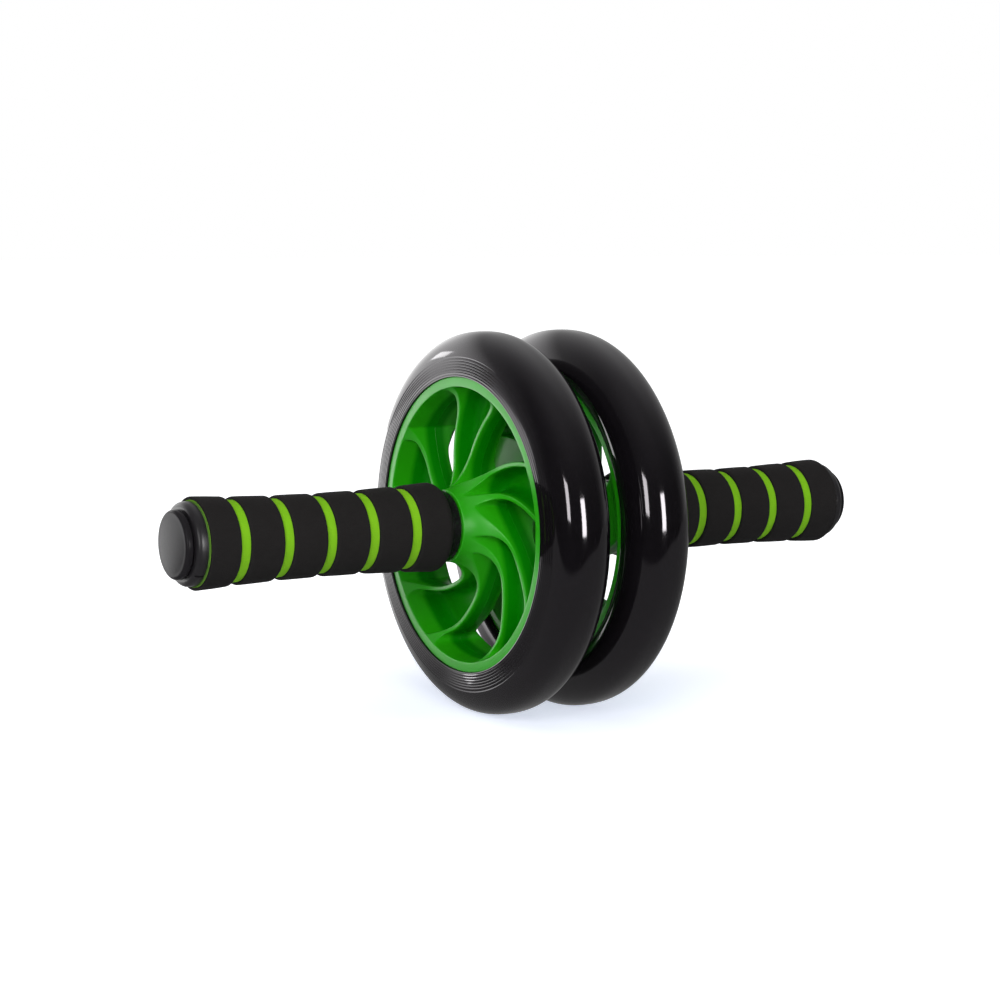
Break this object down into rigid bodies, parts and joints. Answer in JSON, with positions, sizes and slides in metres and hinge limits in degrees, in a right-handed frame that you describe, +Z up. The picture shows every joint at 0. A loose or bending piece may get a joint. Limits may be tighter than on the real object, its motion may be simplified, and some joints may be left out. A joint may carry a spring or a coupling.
{
  "type": "ab wheel roller",
  "caption": "Exercise roller with twin swirl-spoked wheels turning freely on a steel axle between foam-covered handles, for rolling out on the floor.",
  "frame": {"origin": "middle of the axle, projected down to the floor that the tyres stand on", "axes": "+X along the axle, +Z up, +Y across the axle in the rolling direction"},
  "size_m": [0.3678, 0.18, 0.18],
  "materials": {
    "tyre": "gloss",
    "green_plastic": "satin",
    "black_foam": "matte",
    "green_foam": "matte",
    "black_plastic": "gloss",
    "cap_plastic": "satin",
    "bush_plastic": "satin",
    "zinc_steel": "satin"
  },
  "bodies": {
    "axle_and_handles": {"axle_tube": "zinc_steel", "center_spacer": "bush_plastic", "left_thrust_washer": "zinc_steel", "left_handle_tube": "black_plastic", "left_grip_core": "green_foam", "left_axle_insert": "zinc_steel", "left_end_collar": "black_plastic", "left_screw_washer": "zinc_steel", "left_end_screw": "zinc_steel", "left_end_cap": "cap_plastic", "left_grip_ring_1": "black_foam", "left_grip_ring_2": "black_foam", "left_grip_ring_3": "black_foam", "left_grip_ring_4": "black_foam", "left_grip_ring_5": "black_foam", "left_grip_ring_6": "black_foam", "right_thrust_washer": "zinc_steel", "right_handle_tube": "black_plastic", "right_grip_core": "green_foam", "right_axle_insert": "zinc_steel", "right_end_collar": "black_plastic", "right_screw_washer": "zinc_steel", "right_end_screw": "zinc_steel", "right_end_cap": "cap_plastic", "right_grip_ring_1": "black_foam", "right_grip_ring_2": "black_foam", "right_grip_ring_3": "black_foam", "right_grip_ring_4": "black_foam", "right_grip_ring_5": "black_foam", "right_grip_ring_6": "black_foam"},
    "left_wheel": {"left_wheel_rim": "green_plastic", "left_tyre": "tyre", "left_inner_bush": "bush_plastic", "left_outer_bush": "bush_plastic"},
    "right_wheel": {"right_wheel_rim": "green_plastic", "right_tyre": "tyre", "right_inner_bush": "bush_plastic", "right_outer_bush": "bush_plastic"}
  },
  "joints": [
    {"name": "left_wheel_spin", "type": "hinge", "parent": "axle_and_handles", "child": "left_wheel", "pos_m": [-0.02105, 0, 0.09], "axis": [1, 0, 0], "continuous": true},
    {"name": "right_wheel_spin", "type": "hinge", "parent": "axle_and_handles", "child": "right_wheel", "pos_m": [0.02105, 0, 0.09], "axis": [1, 0, 0], "continuous": true}
  ]
}
